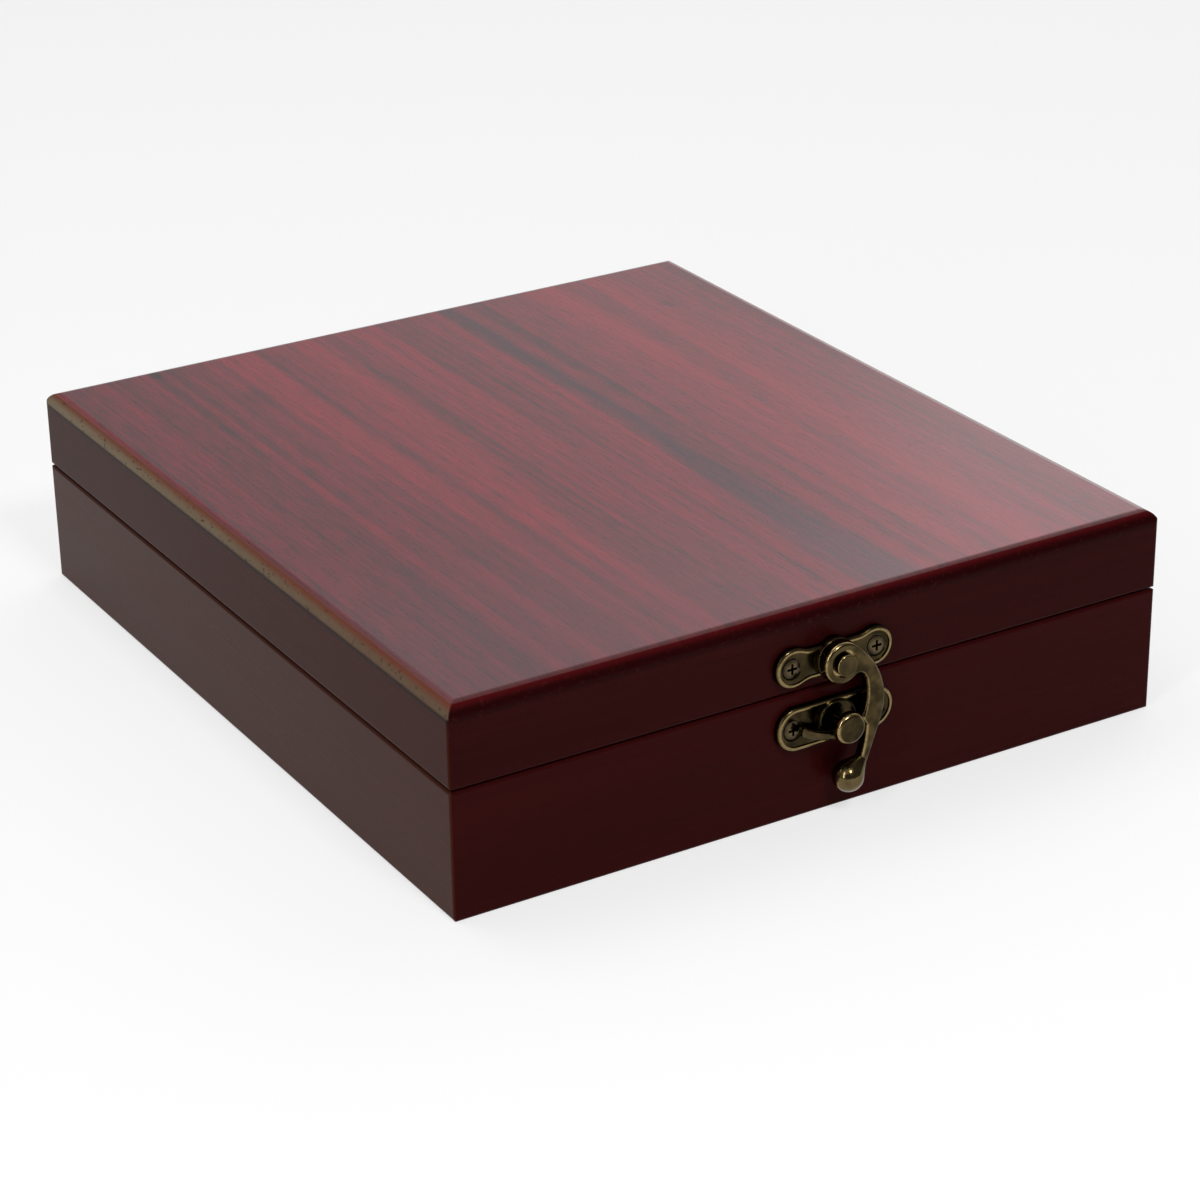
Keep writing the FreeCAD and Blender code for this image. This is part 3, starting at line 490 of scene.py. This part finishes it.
def bronze(name, wear_highlight_from, wear_highlight_to, dark, light, bright):
    # Heights are how far the metal stands out from the box's front or back face
    material, tree, shader = new_material(name)
    finish = node(tree, "ShaderNodeGroup", {}, node_tree=patina)
    tree.links.new(object_place(tree), finish.inputs["Place"])
    finish.inputs["Rubbed From"].default_value = wear_highlight_from
    finish.inputs["Rubbed To"].default_value = wear_highlight_to
    aged = blended(tree, finish.outputs["Cloud"], dark, light)
    colour = blended(tree, finish.outputs["Wear Highlight"], aged, bright)
    dull = maths(tree, "MULTIPLY_ADD", finish.outputs["Speck"], 0.10, 0.16)
    height = maths(tree, "MULTIPLY_ADD", finish.outputs["Speck"], 0.3, finish.outputs["Cloud"])
    relief = node(tree, "ShaderNodeBump", {"Height": height, "Strength": 0.06, "Distance": 0.0002}).outputs[0]
    tree.links.new(colour, shader.inputs["Base Color"])
    tree.links.new(dull, shader.inputs["Roughness"])
    tree.links.new(relief, shader.inputs["Normal"])
    shader.inputs["Metallic"].default_value = 1.0
    return material


bronze_dark = (0.020, 0.0143, 0.0062, 1.0)
bronze_light = (0.052, 0.0370, 0.0155, 1.0)
bronze_wear_highlight = (0.320, 0.235, 0.105, 1.0)
antique_hinge = bronze("antique_hinge", 0.0033, 0.0060, bronze_dark, bronze_light, bronze_wear_highlight)
for side in ("left", "right"):
    for piece in ("base_leaf", "lid_leaf", "pin"):
        paint("%s_hinge_%s" % (side, piece), antique_hinge)

# Latch plates: two die-cast brass plates with a raised rim, a round boss and two dished screw holes.
# They are screwed to the lid's front rail and the base's front wall; the rims are bright, partly rubbed and
# partly a painted highlight.
rim_wear_highlight = (0.235, 0.171, 0.075, 1.0)
antique_plate = bronze("antique_plate", 0.00132, 0.00180, bronze_dark, bronze_light, rim_wear_highlight)
for piece in ("latch_pivot_plate", "latch_keeper_plate"):
    paint(piece, antique_plate)

# Rivet and keeper post: turned brass studs, their tails spread behind the plates.
# The rivet holds the hook's ring; the post's round head stands clear so that the horn can pass under it.
# The bright bands on the rivet head and the post head's rim are partly rubbing wear and partly painted
# highlight.
antique_rivet = bronze("antique_rivet", 0.00555, 0.00588, bronze_dark, bronze_light, bronze_wear_highlight)
paint("latch_pivot_rivet", antique_rivet)
antique_post = bronze("antique_post", 0.00600, 0.00712, bronze_dark, bronze_light, bronze_wear_highlight)
paint("latch_keeper_post", antique_post)

# Swing hook: one brass casting that turns on the rivet, with a ring, a bent arm, a horn and a thumb ball.
# Its rounded edges are bright, partly worn by fingers and partly a painted highlight standing in for the
# shading of a rounded arm; fingers keep the ball bright, and the patina stays on the flat of the arm.
hook_dark = (0.030, 0.0212, 0.0090, 1.0)
hook_light = (0.088, 0.0625, 0.0262, 1.0)
hook_wear_highlight = (0.290, 0.212, 0.094, 1.0)
antique_hook = bronze("antique_hook", 0.00387, 0.00472, hook_dark, hook_light, hook_wear_highlight)
tree = antique_hook.node_tree
aged = tree.nodes["Principled BSDF"].inputs["Base Color"].links[0].from_socket
hook_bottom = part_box("latch_hook")[0][2]
hook_place = node(tree, "ShaderNodeSeparateXYZ", {0: object_place(tree)}).outputs
ball_fade_from = hook_bottom + 0.0085
ball_fade_to = hook_bottom + 0.0050
thumbed = spread(tree, hook_place[2], ball_fade_from, ball_fade_to)
smears = stretched_noise(tree, object_place(tree), (500.0, 500.0, 500.0), 3.0, 0.6)
thumbed = maths(tree, "MULTIPLY", thumbed, maths(tree, "MULTIPLY_ADD", smears, 0.6, 0.0))
worn = blended(tree, thumbed, aged, hook_wear_highlight)
tree.links.new(worn, tree.nodes["Principled BSDF"].inputs["Base Color"])
paint("latch_hook", antique_hook)

# Screws: small cross-slotted brass screws with low domed heads, in the latch plates and the hinge leaves.
# They are blackened more than the castings, because nothing rubs them.
screw_dark = (0.022, 0.016, 0.010, 1.0)
screw_light = (0.070, 0.051, 0.028, 1.0)
screw_wear_highlight = (0.13, 0.095, 0.05, 1.0)
# The screw heads' narrow lighter band is partly wear and partly painted highlight.
antique_screw = bronze("antique_screw", 0.0012, 0.0016, screw_dark, screw_light, screw_wear_highlight)
for name in nodes:
    if name.endswith("_screws"):
        paint(name, antique_screw)

# Studio: a pale floor that fills the picture, with a sky that is palest at the back right.
# Soft lamps: a wide one over the front, one at the back left, a panel at the back right that the lid top
# mirrors, and two small ones, at the front and the left, that the latch's rounded edges mirror.
bpy.ops.object.select_all(action="DESELECT")
bpy.ops.mesh.primitive_plane_add(size=9.0, location=(0.0, 0.0, 0.0))
floor = bpy.context.object
floor.name = "studio_floor"
floor_colour = (0.93, 0.93, 0.93, 1.0)
floor_whitening = 0.62
pale, tree, shader = new_material("pale_floor")
shader.inputs["Base Color"].default_value = floor_colour
shader.inputs["Roughness"].default_value = 0.9
shader.inputs["Specular IOR Level"].default_value = 0.0
rays = node(tree, "ShaderNodeLightPath").outputs
seen = maths(tree, "ADD", rays["Is Camera Ray"], rays["Is Glossy Ray"])
seen = maths(tree, "MINIMUM", maths(tree, "ADD", seen, rays["Is Transmission Ray"]), 1.0)
white = node(tree, "ShaderNodeEmission", {"Color": (1.0, 1.0, 1.0, 1.0), "Strength": 1.0}).outputs[0]
whitened = {0: maths(tree, "MULTIPLY", seen, floor_whitening), 1: shader.outputs[0], 2: white}
surface = node(tree, "ShaderNodeMixShader", whitened).outputs[0]
tree.links.new(surface, tree.nodes["Material Output"].inputs["Surface"])
floor.data.materials.append(pale)

world = bpy.data.worlds.new("studio")
scene.world = world
world.use_nodes = True
tree = world.node_tree
tree.nodes.clear()
direction = node(tree, "ShaderNodeTexCoord").outputs["Generated"]
toward = node(tree, "ShaderNodeSeparateXYZ", {0: direction}).outputs
backward = spread(tree, toward[1], -0.35, 0.45)
rightward = maths(tree, "MULTIPLY_ADD", spread(tree, toward[0], 0.2, 0.75), 0.9, 0.42)
strength = maths(tree, "MULTIPLY_ADD", backward, rightward, 0.12)
sky = node(tree, "ShaderNodeBackground", {"Color": (1.0, 1.0, 1.0, 1.0), "Strength": strength}).outputs[0]
node(tree, "ShaderNodeOutputWorld", {"Surface": sky})


def soft_lamp(name, place, size, power):
    data = bpy.data.lights.new(name, "AREA")
    data.shape = "RECTANGLE"
    data.size = size[0]
    data.size_y = size[1]
    data.energy = power
    lamp = bpy.data.objects.new(name, data)
    scene.collection.objects.link(lamp)
    aim = Vector((0.0, 0.0, 0.02)) - Vector(place)
    lamp.location = place
    lamp.rotation_euler = aim.to_track_quat("-Z", "Y").to_euler()


soft_lamp("back_softbox", (-0.3, 0.45, 1.15), (0.6, 0.6), 2.6)
soft_lamp("lid_panel", (1.1, 0.75, 0.55), (0.8, 0.9), 1.9)
soft_lamp("front_softbox", (-0.1, -0.65, 1.0), (0.9, 0.6), 1.2)
soft_lamp("latch_spark", (-0.05, -0.75, 0.85), (0.2, 0.2), 4.2)
soft_lamp("latch_lamp", (-0.8, -0.45, 0.5), (0.12, 0.8), 3.0)
